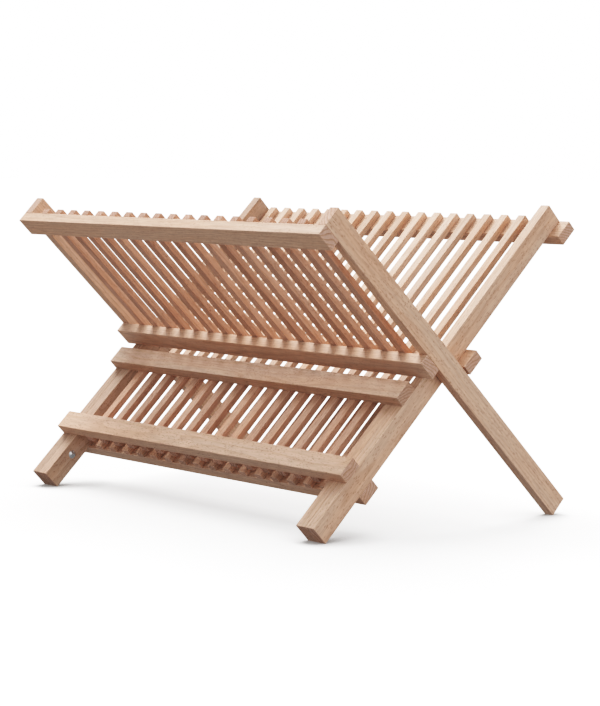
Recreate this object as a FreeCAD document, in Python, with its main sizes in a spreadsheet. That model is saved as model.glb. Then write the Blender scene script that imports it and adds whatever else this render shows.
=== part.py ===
import FreeCAD, Part
import os
import Sketcher

# A folding wooden dish rack. Two slatted frames cross like an X and turn on two steel pins.
# The outer frame has its feet at the back and its top at the front. The inner frame is
# narrower at its legs, has its feet at the front and its top at the back, and carries a second,
# shorter layer of slats at the front. Both frames fold flat against each other.
#
# The origin is on the ground below the pins: +X to the right, +Y to the back, +Z up, millimetres.
# Inside a frame, X runs across, Z runs up along the legs from the pins, and Y stands square to
# the frame. The side of a frame that faces the dishes is its upper side, the other its underside.

V = FreeCAD.Vector
doc = FreeCAD.newDocument("dish_rack")

DIMENSIONS = [
    ("leg_length", 341.0, "length of each leg"),
    ("leg_depth", 17.6, "depth of the legs and doublers, seen from the side"),
    ("leg_thickness", 9.4, "thickness of the legs, from left to right"),
    ("doubler_thickness", 11.0, "thickness of the doublers inside the front feet, from left to right"),
    ("lean_angle", 46.0, "lean of both frames from the vertical when open, in degrees"),
    ("outer_width", 398.0, "overall width, over the outer frame's legs"),
    ("side_gap", 1.2, "space between the outer and inner legs"),
    ("bar_height", 17.6, "size of the cross bars along the legs"),
    ("bar_thickness", 9.4, "size of the cross bars square to the frame"),
    ("slat_pitch", 20.0, "spacing of the slats, centre to centre"),
    ("slat_width", 8.0, "width of a slat, from left to right"),
    ("slat_thickness", 5.2, "thickness of a slat"),
    ("front_upper_drop", 30.3, "upper front bar's top edge, below the pins along the leg"),
    ("front_lower_drop", 108.1, "lower front bar's top edge, below the pins along the leg"),
    ("back_lower_drop", 106.8, "bottom bar's top edge, below the pins along the leg"),
    ("middle_bar_gap", 1.5, "space between the inner middle bar and the outer legs when open"),
    ("leg_edge", 0.5, "rounding of the legs' and bars' edges"),
    ("slat_edge", 0.35, "rounding of the slats' edges"),
    ("pin_radius", 1.5, "radius of the pivot pins"),
    ("pin_clearance", 0.05, "radial clearance of a pin in the inner leg"),
    ("pin_bite", 7.6, "depth of a pin's end in the outer leg"),
    ("pin_head_radius", 3.5, "radius of a pin's domed head"),
    ("pin_head_height", 1.6, "height of a pin's domed head"),
    ("pin_play", 0.1, "side play at each sliding face on the pins"),
    ("washer_radius", 6.0, "outer radius of the pivot washers"),
    ("screw_radius", 1.5, "radius of the doubler screws"),
    ("screw_length", 17.0, "length of a doubler screw under its head"),
    ("screw_head_radius", 3.5, "radius of a doubler screw's head"),
    ("screw_head_height", 1.5, "height of a doubler screw's head"),
    ("screw_slot_width", 0.9, "width of the cross slot in a screw's head"),
    ("screw_slot_length", 3.8, "length of each arm of the cross slot"),
    ("screw_slot_depth", 0.9, "depth of the cross slot"),
    ("screw_drop", 140.6, "doubler screws, below the pins along the leg"),
]
SLAT_COUNT = 18
SIDES = {"left": -1, "right": 1}

# For each frame: the axis it leans about, and the sign of Y on its upper side.
FRAMES = {"outer": (V(1, 0, 0), 1), "inner": (V(-1, 0, 0), -1)}

sheet = doc.addObject("Spreadsheet::Sheet", "dims")
for row, (alias, value, note) in enumerate(DIMENSIONS, start=1):
    sheet.set(f"A{row}", note)
    sheet.set(f"B{row}", str(value))
    sheet.setAlias(f"B{row}", alias)
doc.recompute()

# Expressions that several pieces share. A leg's face is the one nearest the rack's middle.
HALF_DEPTH = "dims.leg_depth / 2"
TOP = "dims.leg_length / 2"
# The rack stands on the rounded lower corners of its legs.
PIVOT_HEIGHT = (f"(({TOP} - dims.leg_edge) * cos(dims.lean_angle)"
                f" + ({HALF_DEPTH} - dims.leg_edge) * sin(dims.lean_angle) + dims.leg_edge)")
BAR_OFFSET = "(dims.leg_depth + dims.bar_thickness) / 2"
SLAT_OFFSET = "(dims.leg_depth - dims.slat_thickness) / 2"
OUTER_LEG_X = "(dims.outer_width - dims.leg_thickness) / 2"
INNER_LEG_X = f"({OUTER_LEG_X} - dims.leg_thickness - dims.side_gap)"
DOUBLER_X = f"({INNER_LEG_X} - (dims.leg_thickness + dims.doubler_thickness) / 2)"
OUTER_LEG_FACE_X = "(dims.outer_width / 2 - dims.leg_thickness)"
INNER_LEG_FACE_X = f"({INNER_LEG_X} - dims.leg_thickness / 2)"
INNER_WIDTH = "(dims.outer_width - 2 * dims.leg_thickness - 2 * dims.side_gap)"
SCREW_BITE = "dims.screw_length - dims.doubler_thickness"
SCREW_PLACE = "-dims.screw_drop"
# The outer middle bar's lower edge lands on the inner legs and stops the rack from spreading.
OUTER_MIDDLE_START = (f"({HALF_DEPTH} - ({HALF_DEPTH} + dims.bar_thickness) * cos(2 * dims.lean_angle))"
                      " / sin(2 * dims.lean_angle)")
INNER_MIDDLE_START = f"({OUTER_MIDDLE_START} + dims.middle_bar_gap)"


def new_body(label):
    body = doc.addObject("PartDesign::Body", label)
    body.Label = label
    return body


def lean(body, frame):
    """Place a body in a frame: its origin on the pins' axis, its Z axis up along the legs."""
    axis, _ = FRAMES[frame]
    body.Placement = FreeCAD.Placement(V(0, 0, 0), FreeCAD.Rotation(axis, 1))
    body.setExpression("Placement.Rotation.Angle", "dims.lean_angle")
    body.setExpression("Placement.Base.z", PIVOT_HEIGHT)


def new_sketch(body, plane, offsets):
    """Sketch on one of the body's own planes, its origin moved by expressions for x, y and z."""
    sketch = body.newObject("Sketcher::SketchObject", f"{body.Name}_sketch")
    origin_plane = next(f for f in body.Origin.OriginFeatures if f.Role == plane)
    sketch.AttachmentSupport = (origin_plane, [""])
    sketch.MapMode = "FlatFace"
    for axis, expression in zip("xyz", offsets):
        sketch.setExpression(f"AttachmentOffset.Base.{axis}", expression)
    return sketch


def constrain(sketch, kind, references, name, expression, start):
    """Add a named driving dimension and bind it to the sheet."""
    index = sketch.addConstraint(Sketcher.Constraint(kind, *references, start))
    sketch.renameConstraint(index, name)
    sketch.setExpression(f"Constraints.{name}", expression)


def draw_rectangle(sketch, width, height):
    """A rectangle centred on the sketch's origin."""
    corners = [V(-2, -1, 0), V(2, -1, 0), V(2, 1, 0), V(-2, 1, 0)]
    for start, end in zip(corners, corners[1:] + corners[:1]):
        sketch.addGeometry(Part.LineSegment(start, end), False)
    for side in range(4):
        sketch.addConstraint(Sketcher.Constraint("Coincident", side, 2, (side + 1) % 4, 1))
        sketch.addConstraint(Sketcher.Constraint(("Horizontal", "Vertical")[side % 2], side))
    sketch.addConstraint(Sketcher.Constraint("Symmetric", 0, 1, 2, 1, -1, 1))
    constrain(sketch, "DistanceX", (0, 1, 0, 2), "width", width, 4.0)
    constrain(sketch, "DistanceY", (1, 1, 1, 2), "height", height, 2.0)


def draw_circle(sketch, name, radius):
    """A circle centred on the sketch's origin."""
    index = sketch.addGeometry(Part.Circle(V(0, 0, 0), V(0, 0, 1), 1), False)
    sketch.addConstraint(Sketcher.Constraint("Coincident", index, 3, -1, 1))
    constrain(sketch, "Radius", (index,), name, radius, 1.0)


def pad(body, sketch, length, symmetric):
    feature = body.newObject("PartDesign::Pad", f"{body.Name}_pad")
    feature.Profile = sketch
    feature.SideType = "Symmetric" if symmetric else "One side"
    feature.setExpression("Length", length)
    body.Tip = feature
    return feature


def round_edges(body, feature, radius):
    """Ease every edge of a plain stick."""
    fillet = body.newObject("PartDesign::Fillet", f"{body.Name}_fillet")
    fillet.Base = (feature, [""])
    fillet.UseAllEdges = True
    fillet.setExpression("Radius", radius)
    body.Tip = fillet
    return fillet


def bore_through(body, place, radius):
    """Drill right through a leg or doubler along X."""
    sketch = new_sketch(body, "YZ_Plane", ("0", place, "0"))
    draw_circle(sketch, "bore_radius", radius)
    pocket = body.newObject("PartDesign::Pocket", f"{body.Name}_bore")
    pocket.Profile = sketch
    pocket.SideType = "Symmetric"
    pocket.Type = "ThroughAll"
    body.Tip = pocket


def bore_outwards(body, sign, face_x, place, radius, depth):
    """Drill a blind hole into a leg from the face nearest the rack's middle."""
    sketch = new_sketch(body, "YZ_Plane", ("0", place, f"{sign} * {face_x}"))
    draw_circle(sketch, "bore_radius", radius)
    pocket = body.newObject("PartDesign::Pocket", f"{body.Name}_pilot")
    pocket.Profile = sketch
    pocket.SideType = "One side"
    pocket.Reversed = sign > 0
    pocket.setExpression("Length", depth)
    body.Tip = pocket


def stick(label, frame, centre_x, centre_y, bottom, top, section, edge):
    """A straight stick that runs up along a frame, from bottom to top."""
    body = new_body(label)
    lean(body, frame)
    sketch = new_sketch(body, "XY_Plane", (centre_x, centre_y, bottom))
    draw_rectangle(sketch, *section)
    round_edges(body, pad(body, sketch, f"{top} - ({bottom})", False), edge)
    return body


def cross_bar(label, frame, side, bottom, length):
    """A bar across a frame, on its upper side or its underside."""
    body = new_body(label)
    lean(body, frame)
    _, upper = FRAMES[frame]
    sign = upper if side == "upper" else -upper
    offsets = (f"{sign} * {BAR_OFFSET}", f"{bottom} + dims.bar_height / 2", "0")
    sketch = new_sketch(body, "YZ_Plane", offsets)
    draw_rectangle(sketch, "dims.bar_thickness", "dims.bar_height")
    round_edges(body, pad(body, sketch, length, True), "dims.leg_edge")
    return body


def leg(label, frame, sign, centre_x, thickness, top):
    """A leg or doubler, from the foot up to top."""
    section = (thickness, "dims.leg_depth")
    return stick(label, frame, f"{sign} * {centre_x}", "0", f"-{TOP}", top, section, "dims.leg_edge")


def slat(label, frame, side, position, bottom, top):
    """A slat at one of the evenly spaced positions, counted from the left."""
    _, upper = FRAMES[frame]
    sign = upper if side == "upper" else -upper
    centre_x = f"{position - (SLAT_COUNT + 1) / 2} * dims.slat_pitch"
    section = ("dims.slat_width", "dims.slat_thickness")
    centre_y = f"{sign} * {SLAT_OFFSET}"
    return stick(label, frame, centre_x, centre_y, bottom, top, section, "dims.slat_edge")


def draw_fastener(sketch, shank, head_radius, head_height, shank_radius):
    """Half the side view of a round-headed fastener; its axis is the sketch's X axis."""
    points = [V(8, 0, 0), V(8, 1, 0), V(0, 1, 0), V(0, 3, 0)]
    for start, end in zip(points, points[1:]):
        sketch.addGeometry(Part.LineSegment(start, end), False)
    dome = Part.Arc(points[-1], V(-1.4, 1.6, 0), V(-2, 0, 0))
    sketch.addGeometry(dome, False)
    sketch.addGeometry(Part.LineSegment(V(-2, 0, 0), points[0]), False)
    # The arc runs counter-clockwise from the head's rim to its crown, so its start is the rim.
    for first, first_end, second, second_end in ((0, 2, 1, 1), (1, 2, 2, 1), (2, 2, 3, 1),
                                                 (3, 2, 4, 1), (4, 2, 0, 1)):
        sketch.addConstraint(Sketcher.Constraint("Coincident", first, first_end, second, second_end))
    sketch.addConstraint(Sketcher.Constraint("Vertical", 0))
    sketch.addConstraint(Sketcher.Constraint("Horizontal", 1))
    sketch.addConstraint(Sketcher.Constraint("Vertical", 2))
    sketch.addConstraint(Sketcher.Constraint("Horizontal", 4))
    sketch.addConstraint(Sketcher.Constraint("PointOnObject", 3, 3, -1))
    sketch.addConstraint(Sketcher.Constraint("PointOnObject", 0, 1, -1))
    sketch.addConstraint(Sketcher.Constraint("PointOnObject", 2, 1, -2))
    constrain(sketch, "DistanceX", (1, 2, 1, 1), "shank", shank, 8.0)
    constrain(sketch, "DistanceY", (0, 1, 0, 2), "shank_radius", shank_radius, 1.0)
    constrain(sketch, "DistanceY", (4, 2, 2, 2), "head_radius", head_radius, 3.0)
    constrain(sketch, "DistanceX", (4, 1, 2, 1), "head_height", head_height, 2.0)


def fastener(label, sign, seat_x, place, shank, head_radius, head_height, shank_radius):
    """A round-headed pin or screw along X: its head sits towards the rack's middle, at seat_x."""
    body = new_body(label)
    sketch = new_sketch(body, "XY_Plane", ("0", "0", "0"))
    draw_fastener(sketch, shank, head_radius, head_height, shank_radius)
    revolution = body.newObject("PartDesign::Revolution", f"{label}_turned")
    revolution.Profile = sketch
    revolution.ReferenceAxis = (sketch, ["H_Axis"])
    revolution.Angle = 360
    body.Tip = revolution
    body.Placement = FreeCAD.Placement(V(0, 0, 0), FreeCAD.Rotation(V(0, 0, 1), 90 - 90 * sign))
    body.setExpression("Placement.Base.x", f"{sign} * {seat_x}")
    body.setExpression("Placement.Base.y", f"{place} * sin(dims.lean_angle)")
    body.setExpression("Placement.Base.z", f"{PIVOT_HEIGHT} + {place} * cos(dims.lean_angle)")
    return body


def cut_cross_slot(body):
    """Two crossing slots in a screw's head."""
    for width, height in (("dims.screw_slot_length", "dims.screw_slot_width"),
                          ("dims.screw_slot_width", "dims.screw_slot_length")):
        sketch = new_sketch(body, "YZ_Plane", ("0", "0", "-dims.screw_head_height"))
        draw_rectangle(sketch, width, height)
        pocket = body.newObject("PartDesign::Pocket", f"{body.Name}_slot")
        pocket.Profile = sketch
        pocket.SideType = "One side"
        pocket.Reversed = True
        pocket.setExpression("Length", "dims.screw_slot_depth")
        body.Tip = pocket


def washer(label, sign):
    """A flat washer on a pivot pin, between the outer and inner legs."""
    body = new_body(label)
    sketch = new_sketch(body, "YZ_Plane", ("0", "0", "0"))
    draw_circle(sketch, "rim", "dims.washer_radius")
    draw_circle(sketch, "hole", "dims.pin_radius")
    pad(body, sketch, "dims.side_gap - dims.pin_play", True)
    middle = f"({OUTER_LEG_X} - (dims.leg_thickness + dims.side_gap - dims.pin_play) / 2)"
    body.setExpression("Placement.Base.x", f"{sign} * {middle}")
    body.setExpression("Placement.Base.z", PIVOT_HEIGHT)
    return body


def group(label, members):
    """Identical pieces that share one node, each a solid of its own."""
    compound = doc.addObject("Part::Compound", label)
    compound.Label = label
    compound.Links = members
    return compound


def make_outer_frame():
    parts = []
    for name, sign in SIDES.items():
        outer_leg = leg(f"outer_leg_{name}", "outer", sign, OUTER_LEG_X, "dims.leg_thickness", TOP)
        bore_outwards(outer_leg, sign, OUTER_LEG_FACE_X, "0", "dims.pin_radius", "dims.pin_bite")
        parts.append(outer_leg)
    top_start = f"{TOP} - dims.bar_height"
    parts.append(cross_bar("outer_top_bar", "outer", "under", top_start, "dims.outer_width"))
    parts.append(cross_bar("outer_middle_bar", "outer", "under", OUTER_MIDDLE_START, "dims.outer_width"))
    for position in range(1, SLAT_COUNT + 1):
        label = f"outer_slat_{position:02d}"
        parts.append(slat(label, "outer", "under", position, OUTER_MIDDLE_START, TOP))
    return parts


def make_inner_frame():
    parts = []
    for name, sign in SIDES.items():
        inner_leg = leg(f"inner_leg_{name}", "inner", sign, INNER_LEG_X, "dims.leg_thickness", TOP)
        doubler = leg(f"leg_doubler_{name}", "inner", sign, DOUBLER_X, "dims.doubler_thickness",
                      "-dims.front_upper_drop")
        bore_through(inner_leg, "0", "dims.pin_radius + dims.pin_clearance")
        bore_through(doubler, SCREW_PLACE, "dims.screw_radius")
        bore_outwards(inner_leg, sign, INNER_LEG_FACE_X, SCREW_PLACE, "dims.screw_radius", SCREW_BITE)
        parts += [inner_leg, doubler]
    top_start = f"{TOP} - dims.bar_height"
    bottom_start = "-dims.back_lower_drop - dims.bar_height"
    front_start = "-dims.front_lower_drop - dims.bar_height"
    upper_start = "-dims.front_upper_drop - dims.bar_height"
    parts.append(cross_bar("inner_top_bar", "inner", "under", top_start, "dims.outer_width"))
    parts.append(cross_bar("inner_middle_bar", "inner", "under", INNER_MIDDLE_START, "dims.outer_width"))
    parts.append(cross_bar("inner_bottom_bar", "inner", "under", bottom_start, INNER_WIDTH))
    parts.append(cross_bar("front_upper_bar", "inner", "upper", upper_start, INNER_WIDTH))
    parts.append(cross_bar("front_lower_bar", "inner", "upper", front_start, INNER_WIDTH))
    # The outermost slats stop at the middle bar, because the doublers stand below them.
    for position in range(1, SLAT_COUNT + 1):
        bottom = INNER_MIDDLE_START if position in (1, SLAT_COUNT) else bottom_start
        parts.append(slat(f"inner_slat_{position:02d}", "inner", "under", position, bottom, TOP))
    front = []
    for position in range(2, SLAT_COUNT):
        label = f"front_slat_{position:02d}"
        front.append(slat(label, "inner", "upper", position, front_start, "-dims.front_upper_drop"))
    parts.append(group("front_slats", front))
    return parts


def make_fasteners():
    head_seat = f"({INNER_LEG_FACE_X} - dims.pin_play)"
    pin_shank = "dims.leg_thickness + dims.side_gap + dims.pin_play + dims.pin_bite"
    pin_sizes = ("dims.pin_head_radius", "dims.pin_head_height", "dims.pin_radius")
    screw_seat = f"({DOUBLER_X} - dims.doubler_thickness / 2)"
    screw_sizes = ("dims.screw_head_radius", "dims.screw_head_height", "dims.screw_radius")
    pins = []
    washers = []
    screws = []
    for name, sign in SIDES.items():
        pins.append(fastener(f"pin_{name}", sign, head_seat, "0", pin_shank, *pin_sizes))
        washers.append(washer(f"washer_{name}", sign))
        screw = fastener(f"screw_{name}", sign, screw_seat, SCREW_PLACE, "dims.screw_length", *screw_sizes)
        cut_cross_slot(screw)
        screws.append(screw)
    return [group("pivot_pins", pins), group("pivot_washers", washers), group("doubler_screws", screws)]


def check(parts):
    """Stop unless every object recomputed cleanly and every sub-part is sound."""
    for obj in doc.Objects:
        if "Invalid" in obj.State or "Error" in obj.State:
            raise RuntimeError(f"{obj.Label} did not recompute: {obj.State}")
    for part in parts:
        if part.Shape.isNull() or not part.Shape.isValid() or not part.Shape.Solids:
            raise RuntimeError(f"{part.Label} has no valid solid")


def main():
    parts = make_outer_frame() + make_inner_frame() + make_fasteners()
    doc.recompute()
    check(parts)
    os.makedirs("parts", exist_ok=True)
    for part in parts:
        part.Shape.exportStep(f"parts/{part.Label}.step")
        box = part.Shape.BoundBox
        print(f"{part.Label:20s} {len(part.Shape.Solids):2d} solids {part.Shape.Volume:9.1f} mm3"
              f"  x {box.XMin:7.1f} {box.XMax:7.1f}  y {box.YMin:7.1f} {box.YMax:7.1f}"
              f"  z {box.ZMin:7.1f} {box.ZMax:7.1f}")


main()
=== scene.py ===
import math
import random

import bpy
from mathutils import Matrix, Vector

# A folding dish rack in bare beech: two slatted frames that cross and turn on steel pins.
# The CAD nodes have the right shapes, so this script gives each of them its wood or its steel,
# and builds the studio around them. Lengths are metres; wood patterns are laid out in millimetres.

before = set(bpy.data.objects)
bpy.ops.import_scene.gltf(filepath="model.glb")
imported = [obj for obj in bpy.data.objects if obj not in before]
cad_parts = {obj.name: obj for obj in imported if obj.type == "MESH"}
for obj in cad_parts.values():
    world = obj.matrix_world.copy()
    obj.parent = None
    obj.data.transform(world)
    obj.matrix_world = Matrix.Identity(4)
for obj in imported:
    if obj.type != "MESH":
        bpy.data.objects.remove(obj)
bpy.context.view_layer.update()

LEAN = math.radians(46.0)
SLAT_PITCH = 20.0
MM_PER_M = 1000.0

# Colours of bare beech: its clear ground, a pinker zone, its darker late wood, the brown of its ray
# flecks, and its polished edges. The two tints are multiplied in: cut ends, and painted shade that
# makes the slats of the shaded panels darker and redder.
GROUND = (0.620, 0.425, 0.320)
BLUSH = (0.620, 0.385, 0.270)
LATE_WOOD = (0.440, 0.255, 0.165)
FLECK = (0.210, 0.095, 0.055)
POLISHED = (0.70, 0.55, 0.43)
END_TINT = (0.93, 0.91, 0.95)
PAINTED_SHADE_TINT = (0.96, 0.88, 0.87)
PLAIN = (1.0, 1.0, 1.0)

# Sizes of the wood's patterns in millimetres, across the grain and along it.
WANDER = (34.0, 260.0)
ZONE = (16.0, 120.0)
CLOUD = (5.0, 22.0)
MOTTLE = (2.0, 13.0)
FIBRE = (0.55, 16.0)
RAY = (0.95, 3.6)
PORE = (0.28, 0.28)
RING_WIDTH = 2.5
RING_WANDER = 26.0

# How much the tone changes from slat to slat, and how wide a polished edge is, in metres.
SLAT_CONTRAST = 0.24
EDGE_RADIUS = 0.0009

# Base colour and roughness of the zinc-plated pieces.
STEELS = {
    "pivot_pins": ("steel_pins", (0.56, 0.56, 0.55), 0.36),
    "pivot_washers": ("steel_washers", (0.52, 0.52, 0.52), 0.42),
    "doubler_screws": ("steel_screws", (0.66, 0.67, 0.68), 0.30),
}

# Each bar or leg: its frame's lean, and its tone. Most tones are the boards' own. The low tones of
# inner_leg_left, leg_doubler_left and front_upper_bar are painted shade, where the rack shades them.
BOARDS = {
    "outer_leg_left": (LEAN, 0.98),
    "outer_leg_right": (LEAN, 1.02),
    "outer_top_bar": (LEAN, 1.00),
    "outer_middle_bar": (LEAN, 0.98),
    "inner_leg_left": (-LEAN, 0.70),
    "inner_leg_right": (-LEAN, 0.97),
    "leg_doubler_left": (-LEAN, 0.80),
    "leg_doubler_right": (-LEAN, 0.90),
    "inner_top_bar": (-LEAN, 1.00),
    "inner_middle_bar": (-LEAN, 0.98),
    "inner_bottom_bar": (-LEAN, 0.97),
    "front_upper_bar": (-LEAN, 0.82),
    "front_lower_bar": (-LEAN, 0.96),
}

# Each set of slats: its frame's lean, seed, tone and tint. The outer and front slats sit in the
# rack's shade, so their lower tone and redder tint are painted shade. The inner slats sit in the
# light, and their higher tone is painted light.
SLATS = {
    "outer_slat_": ("beech_outer_slats", LEAN, 41, 0.92, PAINTED_SHADE_TINT),
    "inner_slat_": ("beech_inner_slats", -LEAN, 42, 1.04, PLAIN),
    "front_slats": ("beech_front_slats", -LEAN, 43, 0.92, PAINTED_SHADE_TINT),
}

# The studio: what the sky gives the rack, the scene value shown as white, and tones between.
AMBIENT = 0.85
PAPER_WHITE = 2.4
TONES = (
    (0.06, 0.030),
    (0.13, 0.088),
    (0.28, 0.255),
    (0.53, 0.490),
    (0.91, 0.710),
    (1.28, 0.825),
)

# The floor: its side, how far from a foot its glow is dimmed as a painted contact shadow, and how
# much open air counts as contact.
FLOOR_SIZE = 60.0
CONTACT_REACH = 0.04
CONTACT_OPENNESS = 0.40

# The camera: a long lens, a little above the rack and off its right-hand front corner.
LENS = 129.52
CAMERA_PLACE = (1.38526, -1.15084, 0.27994)
CAMERA_TARGET = (0.018434, 0.0, 0.124031)
CAMERA_ROLL = math.radians(0.503)


# ---------------------------------------------------------------- node helpers


class Graph:
    """Short calls that add shader nodes to one material and link them."""

    def __init__(self, name):
        self.material = bpy.data.materials.new(name)
        self.material.use_nodes = True
        self.tree = self.material.node_tree
        self.tree.nodes.clear()

    def node(self, kind, **settings):
        made = self.tree.nodes.new(kind)
        for key, value in settings.items():
            setattr(made, key, value)
        return made

    def put(self, socket, value):
        """Link a socket to another node's output, or set it to a constant."""
        if isinstance(value, bpy.types.NodeSocket):
            self.tree.links.new(value, socket)
        else:
            socket.default_value = value

    def math(self, operation, first, second=0.0, third=0.0):
        made = self.node("ShaderNodeMath", operation=operation)
        for socket, value in zip(made.inputs, (first, second, third)):
            self.put(socket, value)
        return made.outputs[0]

    def vector(self, operation, first, second=(0.0, 0.0, 0.0), output="Vector"):
        made = self.node("ShaderNodeVectorMath", operation=operation)
        self.put(made.inputs[0], first)
        self.put(made.inputs[1], second)
        return made.outputs[output]

    def split(self, vector):
        made = self.node("ShaderNodeSeparateXYZ")
        self.put(made.inputs[0], vector)
        return made.outputs

    def join(self, x, y, z):
        made = self.node("ShaderNodeCombineXYZ")
        for socket, value in zip(made.inputs, (x, y, z)):
            self.put(socket, value)
        return made.outputs[0]

    def noise(self, vector, scale=1.0, detail=2.0, roughness=0.5):
        made = self.node("ShaderNodeTexNoise")
        self.put(made.inputs["Vector"], vector)
        self.put(made.inputs["Scale"], scale)
        self.put(made.inputs["Detail"], detail)
        self.put(made.inputs["Roughness"], roughness)
        return made.outputs["Fac"]

    def steps(self, value, low, high, to_low=0.0, to_high=1.0):
        """Smoothly map low..high to to_low..to_high, and hold the ends."""
        made = self.node("ShaderNodeMapRange", interpolation_type="SMOOTHSTEP")
        for socket, number in zip(made.inputs, (value, low, high, to_low, to_high)):
            self.put(socket, number)
        return made.outputs[0]

    def mix(self, factor, first, second, blend="MIX"):
        made = self.node("ShaderNodeMix", data_type="RGBA", blend_type=blend)
        self.put(made.inputs["Factor"], factor)
        for name, value in (("A", first), ("B", second)):
            socket = next(s for s in made.inputs if s.name == name and s.type == "RGBA")
            self.put(socket, (*value, 1.0) if isinstance(value, tuple) else value)
        return next(s for s in made.outputs if s.type == "RGBA")

    def shaded(self, colour, level):
        """The colour times one number."""
        return self.mix(1.0, colour, self.join(level, level, level), "MULTIPLY")

    def stretched(self, vector, size):
        """A grain-space position scaled so that a pattern has that size across and along."""
        across, along = size
        return self.vector("MULTIPLY", vector, (1 / across, 1 / across, 1 / along))

    def bump(self, height, strength, distance):
        made = self.node("ShaderNodeBump")
        self.put(made.inputs["Strength"], strength)
        self.put(made.inputs["Distance"], distance)
        self.put(made.inputs["Height"], height)
        return made.outputs[0]

    def finish(self, shader):
        """Send a shader to the surface, and give back the material."""
        output = self.node("ShaderNodeOutputMaterial")
        self.put(output.inputs["Surface"], shader.outputs[0])
        return self.material


# ---------------------------------------------------------------- wood


def grain_space(graph, lean, along_x):
    """The position in millimetres, turned so that Z runs along the grain, and the grain's own share
    of the surface's direction: 1 on cut ends, 0 on the long faces."""
    coordinates = graph.node("ShaderNodeTexCoord")
    outputs = []
    for output in ("Object", "Normal"):
        turn = graph.node("ShaderNodeVectorRotate", rotation_type="X_AXIS")
        graph.put(turn.inputs["Vector"], coordinates.outputs[output])
        graph.put(turn.inputs["Angle"], -lean)
        outputs.append(turn.outputs[0])
    position, normal = outputs
    position = graph.vector("MULTIPLY", position, (MM_PER_M,) * 3)
    if along_x:
        x, y, z = graph.split(position)
        position = graph.join(y, z, x)
    facing = graph.split(normal)["X" if along_x else "Z"]
    return position, graph.math("ABSOLUTE", facing)


def slat_dice(graph, position, seed):
    """White noise that changes from one slat to the next, by the slat's place across the rack."""
    x = graph.split(position)["X"]
    number = graph.math("FLOOR", graph.math("DIVIDE", x, SLAT_PITCH))
    dice = graph.node("ShaderNodeTexWhiteNoise", noise_dimensions="1D")
    graph.put(dice.inputs["W"], graph.math("ADD", number, seed * 31.7))
    return dice


def late_wood(graph, position, draw):
    """1 in the dark part of each growth ring: cylinders around a wandering pith outside the board."""
    wander = graph.noise(graph.stretched(position, WANDER))
    x, y, _ = graph.split(position)
    pith_x = draw.choice((-1, 1)) * draw.uniform(110, 170)
    pith_y = draw.uniform(-60, 60)
    from_pith = graph.join(graph.math("ADD", x, pith_x), graph.math("ADD", y, pith_y), 0.0)
    radius = graph.vector("LENGTH", from_pith, output="Value")
    radius = graph.math("ADD", radius, graph.math("MULTIPLY", wander, RING_WANDER))
    ring = graph.math("FRACT", graph.math("DIVIDE", radius, RING_WIDTH))
    return graph.math("MULTIPLY", graph.steps(ring, 0.45, 0.93), graph.steps(ring, 1.0, 0.95))


def ray_flecks(graph, position):
    """The short dark flecks of beech, of uneven length and gathered in clouds."""
    cells = graph.node("ShaderNodeTexVoronoi", feature="F1")
    graph.put(cells.inputs["Vector"], graph.stretched(position, RAY))
    graph.put(cells.inputs["Scale"], 1.0)
    reach = graph.math("MULTIPLY_ADD", graph.split(cells.outputs["Color"])["X"], 0.26, 0.06)
    gap = graph.math("SUBTRACT", cells.outputs["Distance"], reach)
    cloud = graph.noise(graph.stretched(position, CLOUD))
    clouded = graph.steps(cloud, 0.30, 0.62, 0.35, 1.0)
    return graph.math("MULTIPLY", graph.steps(gap, 0.07, -0.05), clouded)


def edge_mask(graph):
    """1 along the eased edges and 0 on the flats: how far a rounded normal leaves the true one."""
    bevel = graph.node("ShaderNodeBevel", samples=4)
    graph.put(bevel.inputs["Radius"], EDGE_RADIUS)
    geometry = graph.node("ShaderNodeNewGeometry")
    true_normal = geometry.outputs["Normal"]
    agreement = graph.vector("DOT_PRODUCT", bevel.outputs[0], true_normal, "Value")
    return graph.steps(agreement, 0.995, 0.88)


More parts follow.
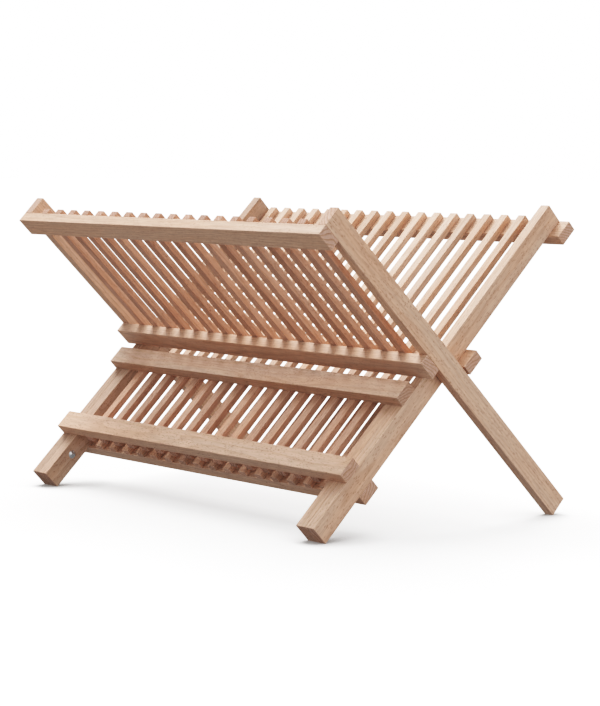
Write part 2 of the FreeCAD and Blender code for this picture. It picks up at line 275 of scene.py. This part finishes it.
def beech(name, lean, seed, along_x=False, per_slat=False, tone=1.0, tint=PLAIN):
    """Bare sanded beech. Each board is cut from its own place in the tree: seed moves the pattern,
    and per_slat moves it again, and changes the tone a little, from one slat to the next."""
    graph = Graph(name)
    draw = random.Random(seed)
    position, end = grain_space(graph, lean, along_x)
    offset = (draw.uniform(-90, 90), draw.uniform(-90, 90), draw.uniform(-400, 400))
    shade = 0.5
    if per_slat:
        dice = slat_dice(graph, position, seed)
        jump = graph.vector("MULTIPLY", dice.outputs["Color"], (140.0, 140.0, 900.0))
        position = graph.vector("ADD", position, jump)
        shade = dice.outputs["Value"]
    position = graph.vector("ADD", position, offset)

    late = late_wood(graph, position, draw)
    fleck = ray_flecks(graph, position)
    zones = graph.noise(graph.stretched(position, ZONE))
    mottle = graph.noise(graph.stretched(position, MOTTLE))
    fibre = graph.noise(graph.stretched(position, FIBRE), detail=3.0, roughness=0.6)
    pores = graph.noise(graph.stretched(position, PORE), detail=1.0)
    edge = edge_mask(graph)
    cut = graph.steps(end, 0.75, 0.97)

    # Broad pinkish and paler zones, rings that show most on cut ends, fibre streaks and flecks.
    colour = graph.mix(graph.steps(zones, 0.32, 0.70), GROUND, BLUSH)
    ring_strength = graph.math("MULTIPLY_ADD", cut, 0.50, 0.38)
    colour = graph.mix(graph.math("MULTIPLY", late, ring_strength), colour, LATE_WOOD)
    streak = graph.math("MULTIPLY", graph.steps(fibre, 0.25, 0.75, 0.86, 1.10),
                        graph.steps(mottle, 0.30, 0.70, 0.92, 1.06))
    colour = graph.shaded(colour, streak)
    colour = graph.mix(graph.math("MULTIPLY", fleck, 0.60), colour, FLECK)

    # Cut ends soak up light between the fibres, so they are darker and show their pores.
    ends = graph.mix(1.0, colour, END_TINT, "MULTIPLY")
    ends = graph.shaded(ends, graph.steps(pores, 0.30, 0.60, 0.72, 1.04))
    colour = graph.mix(cut, colour, ends)

    # Handling has polished the eased edges a little paler and smoother.
    colour = graph.mix(graph.math("MULTIPLY", edge, 0.22), colour, POLISHED)
    # The tone and the tint scale the colour. From slat to slat the change is random. The low tones
    # and the redder tint of the boards and slats that sit in the rack's shade are painted shade.
    level = graph.math("MULTIPLY_ADD", shade, SLAT_CONTRAST, tone - SLAT_CONTRAST / 2)
    colour = graph.mix(1.0, graph.shaded(colour, level), tint, "MULTIPLY")
    dull = graph.math("MULTIPLY_ADD", fibre, 0.22, 0.46)
    dull = graph.math("SUBTRACT", dull, graph.math("MULTIPLY", edge, 0.10))
    dull = graph.math("MULTIPLY_ADD", cut, 0.15, dull)

    # The sanded surface: raised fibres, with flecks and open pores a little below it.
    raised = graph.math("MULTIPLY", fibre, 0.7)
    height = graph.math("SUBTRACT", raised, graph.math("MULTIPLY", fleck, 0.5))
    open_pores = graph.math("MULTIPLY", graph.math("MULTIPLY", pores, cut), 0.8)
    height = graph.math("SUBTRACT", height, open_pores)

    shader = graph.node("ShaderNodeBsdfPrincipled")
    graph.put(shader.inputs["Base Color"], colour)
    graph.put(shader.inputs["Roughness"], dull)
    shader.inputs["IOR"].default_value = 1.45
    shader.inputs["Specular IOR Level"].default_value = 0.36
    graph.put(shader.inputs["Normal"], graph.bump(height, strength=0.35, distance=0.00012))
    return graph.finish(shader)


# ---------------------------------------------------------------- steel


def steel(name, tone, roughness):
    """Zinc-plated steel: a soft grey metal with faint spangle and fine scratches."""
    graph = Graph(name)
    coordinates = graph.node("ShaderNodeTexCoord")
    position = graph.vector("MULTIPLY", coordinates.outputs["Object"], (MM_PER_M,) * 3)
    spangle = graph.noise(position, scale=1.4)
    scratch = graph.noise(graph.vector("MULTIPLY", position, (2.0, 14.0, 2.0)), detail=3.0)
    dark = tuple(channel * 0.78 for channel in tone)
    dull = graph.math("MULTIPLY_ADD", scratch, 0.25, roughness - 0.12)
    shader = graph.node("ShaderNodeBsdfPrincipled")
    graph.put(shader.inputs["Base Color"], graph.mix(graph.steps(spangle, 0.35, 0.65), dark, tone))
    shader.inputs["Metallic"].default_value = 1.0
    graph.put(shader.inputs["Roughness"], dull)
    graph.put(shader.inputs["Normal"], graph.bump(scratch, strength=0.2, distance=0.00003))
    return graph.finish(shader)


# ---------------------------------------------------------------- dressing the CAD nodes


def dress(node, material):
    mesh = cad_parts[node].data
    mesh.materials.clear()
    mesh.materials.append(material)


def dress_boards():
    for seed, (node, (lean, tone)) in enumerate(BOARDS.items(), start=1):
        along_x = node.endswith("bar")
        dress(node, beech(f"beech_{node}", lean, seed, along_x=along_x, tone=tone))


def dress_slats():
    for prefix, (name, lean, seed, tone, tint) in SLATS.items():
        material = beech(name, lean, seed, per_slat=True, tone=tone, tint=tint)
        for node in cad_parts:
            if node.startswith(prefix):
                dress(node, material)


def dress_metal():
    for node, (name, tone, roughness) in STEELS.items():
        dress(node, steel(name, tone, roughness))


# ---------------------------------------------------------------- studio


def make_floor(name, height, seen, grey, glow, contact_glow):
    """A plain matt plane that glows: by glow in the open, and by contact_glow right at a foot, a
    painted contact shadow.
    """
    bpy.ops.mesh.primitive_plane_add(size=FLOOR_SIZE, location=(0, 0, height))
    floor = bpy.context.object
    floor.name = name
    graph = Graph(name)
    matt = graph.node("ShaderNodeBsdfDiffuse")
    matt.inputs["Color"].default_value = (grey, grey, grey, 1.0)
    # Painted contact shadow: ambient occlusion dims the glow near a foot.
    nearby = graph.node("ShaderNodeAmbientOcclusion", samples=8)
    nearby.inputs["Distance"].default_value = CONTACT_REACH
    strength = graph.steps(nearby.outputs["AO"], CONTACT_OPENNESS, 1.0, contact_glow, glow)
    light = graph.node("ShaderNodeEmission")
    graph.put(light.inputs["Strength"], strength)
    both = graph.node("ShaderNodeAddShader")
    graph.put(both.inputs[0], matt.outputs[0])
    graph.put(both.inputs[1], light.outputs[0])
    floor.data.materials.append(graph.finish(both))
    floor.visible_camera = seen
    floor.visible_diffuse = floor.visible_glossy = not seen
    floor.visible_shadow = False


def make_floors():
    """The camera sees one floor, as pale as the backdrop except where the rack shades it, with a
    painted contact shadow dimming its glow around each foot. The rack is lit by the other, just
    below, which is darker and is shaded nowhere."""
    make_floor("floor", 0.0, True, grey=0.52, glow=1.10, contact_glow=0.11)
    make_floor("floor_bounce", -0.001, False, grey=0.08, glow=0.28, contact_glow=0.28)


def make_world():
    """A backdrop that the camera sees as white, and that lights the rack more weakly."""
    world = bpy.data.worlds.new("studio")
    world.use_nodes = True
    tree = world.node_tree
    background = tree.nodes["Background"]
    background.inputs["Color"].default_value = (1.0, 1.0, 1.0, 1.0)
    path = tree.nodes.new("ShaderNodeLightPath")
    strength = tree.nodes.new("ShaderNodeMapRange")
    strength.inputs["To Min"].default_value = AMBIENT
    strength.inputs["To Max"].default_value = PAPER_WHITE
    tree.links.new(path.outputs["Is Camera Ray"], strength.inputs["Value"])
    tree.links.new(strength.outputs[0], background.inputs["Strength"])
    bpy.context.scene.world = world


def set_tones():
    """The tone curve of a studio print: shadows a little deeper, highlights rolled off to white."""
    settings = bpy.context.scene.view_settings
    settings.view_transform = "Standard"
    settings.use_curve_mapping = True
    mapping = settings.curve_mapping
    mapping.white_level = (PAPER_WHITE,) * 3
    _, _, _, combined = mapping.curves
    combined.points[0].location = (0.0, 0.0)
    combined.points[1].location = (1.0, 1.0)
    for scene_value, shown in TONES:
        combined.points.new(scene_value / PAPER_WHITE, shown)
    mapping.update()


def make_light(name, direction, spread, strength):
    """A broad lamp a long way off: direction points from the rack to it, spread is in degrees."""
    data = bpy.data.lights.new(name, "SUN")
    data.angle = math.radians(spread)
    data.energy = strength
    light = bpy.data.objects.new(name, data)
    light.rotation_euler = Vector(direction).to_track_quat("Z", "Y").to_euler()
    bpy.context.scene.collection.objects.link(light)


def make_lights():
    make_light("key_left", (-0.45, 0.20, 0.87), spread=40.0, strength=6.2)
    make_light("fill_right", (0.95, 0.00, 0.30), spread=60.0, strength=1.05)


def make_camera():
    data = bpy.data.cameras.new("camera")
    data.sensor_fit = "HORIZONTAL"
    data.sensor_width = 36.0
    data.lens = LENS
    data.clip_start = 0.05
    data.clip_end = 100.0
    place = Vector(CAMERA_PLACE)
    turn = (Vector(CAMERA_TARGET) - place).to_track_quat("-Z", "Y").to_matrix().to_4x4()
    camera = bpy.data.objects.new("camera", data)
    camera.matrix_world = Matrix.Translation(place) @ turn @ Matrix.Rotation(CAMERA_ROLL, 4, "Z")
    bpy.context.scene.collection.objects.link(camera)
    bpy.context.scene.camera = camera


make_camera()
make_world()
make_floors()
make_lights()
dress_boards()
dress_slats()
dress_metal()
set_tones()
